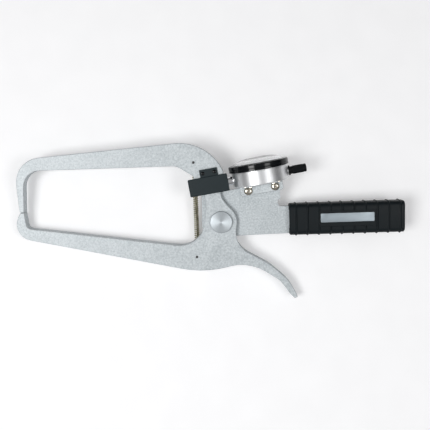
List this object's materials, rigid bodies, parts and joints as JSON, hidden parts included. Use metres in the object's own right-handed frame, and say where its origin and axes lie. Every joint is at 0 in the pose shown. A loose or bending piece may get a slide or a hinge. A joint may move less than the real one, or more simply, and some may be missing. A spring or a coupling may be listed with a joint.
{
  "type": "dial caliper gauge",
  "caption": "Long-reach dial caliper gauge: two C-shaped jaws on one pivot, closed by a spring, opened by a finger lever and read by a plunger dial gauge, with a ribbed grip.",
  "frame": {"origin": "centre of the turned face of the jaw pivot's cap", "axes": "+X along the grip away from the jaws, +Y in the plane of the jaws towards the gauge, +Z out of the pivot cap's face; the jaws are closed at rest"},
  "size_m": [0.3735, 0.1533, 0.0571],
  "materials": {
    "cast_alloy": "fine hammered silver paint on a casting",
    "turned_steel": "turned and satin",
    "nickel": "nickel plated",
    "chrome": "polished",
    "bronze": "plain",
    "brass": "satin",
    "spring_wire": "oiled spring wire",
    "black_sheet": "matte black",
    "black_gloss": "gloss black",
    "black_rubber": "soft matte",
    "label_alloy": "bare satin",
    "dial_white": "matte white with black divisions",
    "crystal_clear": "clear acrylic",
    "pointer_black": "matte black"
  },
  "bodies": {
    "frame": {"fixed_frame": "cast_alloy", "pivot_screw": "turned_steel", "thrust_washer": "bronze", "nut_washer": "nickel", "pivot_nut": "nickel", "frame_spring_pin": "turned_steel", "return_spring": "spring_wire", "plunger_hood": "black_sheet", "hood_screw_1": "nickel", "hood_screw_2": "nickel", "gauge_bracket": "cast_alloy", "bracket_screw_1": "nickel", "bracket_screw_2": "nickel", "lug_screw_1": "nickel", "lug_screw_2": "nickel", "grip_sleeve": "black_rubber", "label_plate": "label_alloy", "gauge_case": "turned_steel", "case_back": "chrome", "back_screw_1": "nickel", "back_screw_2": "nickel", "back_screw_3": "nickel", "back_screw_4": "nickel", "stem": "chrome", "rear_bush": "chrome", "plunger_cap": "black_gloss", "plunger_guide": "brass", "spring_post": "turned_steel", "plunger_spring": "spring_wire", "movement_plate": "brass", "bridge_plate": "brass", "bridge_pillar_1": "brass", "bridge_pillar_2": "brass", "bridge_pillar_3": "brass", "dial_face": "dial_white"},
    "jaw": {"moving_arm": "cast_alloy", "pivot_bush": "bronze", "jaw_spring_pin": "turned_steel", "contact_pin": "turned_steel"},
    "spindle": {"plunger": "turned_steel", "contact_point": "chrome", "guide_pin": "turned_steel"},
    "counter": {"rack_pinion": "turned_steel", "drive_wheel": "brass", "counter_hand": "pointer_black"},
    "pointer": {"centre_pinion": "turned_steel", "main_pointer": "pointer_black"},
    "takeup": {"takeup_wheel": "brass", "takeup_arbor": "turned_steel", "hairspring": "spring_wire"},
    "bezel": {"bezel": "black_gloss", "dial_ring": "dial_white", "crystal": "crystal_clear"}
  },
  "joints": [
    {"name": "jaw_hinge", "type": "hinge", "parent": "frame", "child": "jaw", "pos_m": [0, 0, -0.0075], "axis": [0, 0, 1], "range_deg": [0, 15], "stiffness_Nm_per_rad": 1.2, "springref_deg": -14.32, "deforming": ["return_spring"]},
    {"name": "plunger_slide", "type": "slide", "parent": "frame", "child": "spindle", "axis": [0.989, 0.1478, 0], "range_m": [-0.01, 0], "deforming": ["plunger_spring"]},
    {"name": "counter_spin", "type": "hinge", "parent": "frame", "child": "counter", "pos_m": [0.02891, 0.03506, -0.00794], "axis": [-0.1478, 0.989, 0], "range_deg": [-360, 0]},
    {"name": "pointer_spin", "type": "hinge", "parent": "frame", "child": "pointer", "pos_m": [0.03932, 0.03661, -0.00475], "axis": [-0.1478, 0.989, 0], "range_deg": [0, 3600]},
    {"name": "takeup_spin", "type": "hinge", "parent": "frame", "child": "takeup", "pos_m": [0.04973, 0.03817, -0.00156], "axis": [-0.1478, 0.989, 0], "range_deg": [-360, 0], "deforming": ["hairspring"]},
    {"name": "bezel_turn", "type": "hinge", "parent": "frame", "child": "bezel", "pos_m": [0.03932, 0.03661, -0.00475], "axis": [-0.1478, 0.989, 0], "continuous": true}
  ],
  "couplings": [
    {"joint": "plunger_slide", "follows": "jaw_hinge", "m_per_rad": -0.0376},
    {"joint": "counter_spin", "follows": "jaw_hinge", "ratio": -23.625},
    {"joint": "pointer_spin", "follows": "jaw_hinge", "ratio": 236.25},
    {"joint": "takeup_spin", "follows": "jaw_hinge", "ratio": -23.625}
  ]
}
